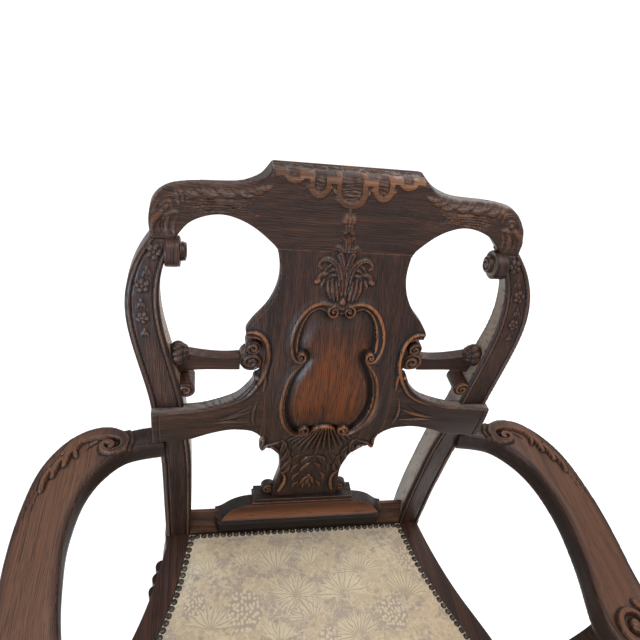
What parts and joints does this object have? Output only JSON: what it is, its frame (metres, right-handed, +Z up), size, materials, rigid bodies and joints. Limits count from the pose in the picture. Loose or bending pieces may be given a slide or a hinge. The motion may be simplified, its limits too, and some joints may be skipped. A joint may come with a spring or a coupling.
{
  "type": "carved open armchair for a desk",
  "caption": "Carved oak open armchair with a pierced splat back, bird-head crest, outswept arms, nailed fabric seat and cabriole legs.",
  "frame": {"origin": "on the floor, under the middle of the chair's bounding box", "axes": "+Z up; +Y from the front of the seat to the back; +X to the right of someone facing the chair"},
  "size_m": [0.738, 0.5796, 1.05],
  "materials": {
    "carved_oak": "dark stained oak, waxed, semi-gloss, worn orange-brown on the ridges",
    "panel_oak": "dark stained oak, waxed, warmer in the middle panel",
    "frame_wood": "unfinished beech, inside the frame",
    "seat_fabric": "woven foliage pattern in tan, mauve-grey and pale yellow",
    "bronzed_nail": "dark bronzed, domed, satin",
    "webbing": "jute webbing",
    "hessian": "plain hessian",
    "stuffing": "curled hair pad in calico"
  },
  "bodies": {
    "root": {"crest_rail": "carved_oak", "front_seat_rail": "carved_oak", "left_arm": "carved_oak", "left_arm_support": "carved_oak", "left_front_corner_block": "frame_wood", "left_front_leg": "carved_oak", "left_front_leg_front_ear": "carved_oak", "left_front_leg_side_ear": "carved_oak", "left_notch_scroll": "carved_oak", "left_rear_corner_block": "frame_wood", "left_rear_leg": "carved_oak", "left_rear_leg_back_ear": "carved_oak", "left_rear_leg_lobed_ear": "carved_oak", "left_shoe_scroll": "carved_oak", "left_side_seat_rail": "carved_oak", "left_splat_wing": "carved_oak", "left_stile": "carved_oak", "left_stile_scroll": "carved_oak", "left_strut": "carved_oak", "left_strut_knuckle": "carved_oak", "left_strut_scroll": "carved_oak", "rear_seat_rail": "carved_oak", "right_arm": "carved_oak", "right_arm_support": "carved_oak", "right_front_corner_block": "frame_wood", "right_front_leg": "carved_oak", "right_front_leg_front_ear": "carved_oak", "right_front_leg_side_ear": "carved_oak", "right_notch_scroll": "carved_oak", "right_rear_corner_block": "frame_wood", "right_rear_leg": "carved_oak", "right_rear_leg_back_ear": "carved_oak", "right_rear_leg_lobed_ear": "carved_oak", "right_shoe_scroll": "carved_oak", "right_side_seat_rail": "carved_oak", "right_splat_wing": "carved_oak", "right_stile": "carved_oak", "right_stile_scroll": "carved_oak", "right_strut": "carved_oak", "right_strut_knuckle": "carved_oak", "right_strut_scroll": "carved_oak", "seat_cover": "seat_fabric", "seat_hessian": "hessian", "seat_nails": "bronzed_nail", "seat_webbing": "webbing", "shoe_block": "carved_oak", "shoe_plinth": "carved_oak", "splat": "panel_oak", "stuffing_pad": "stuffing"}
  },
  "joints": []
}
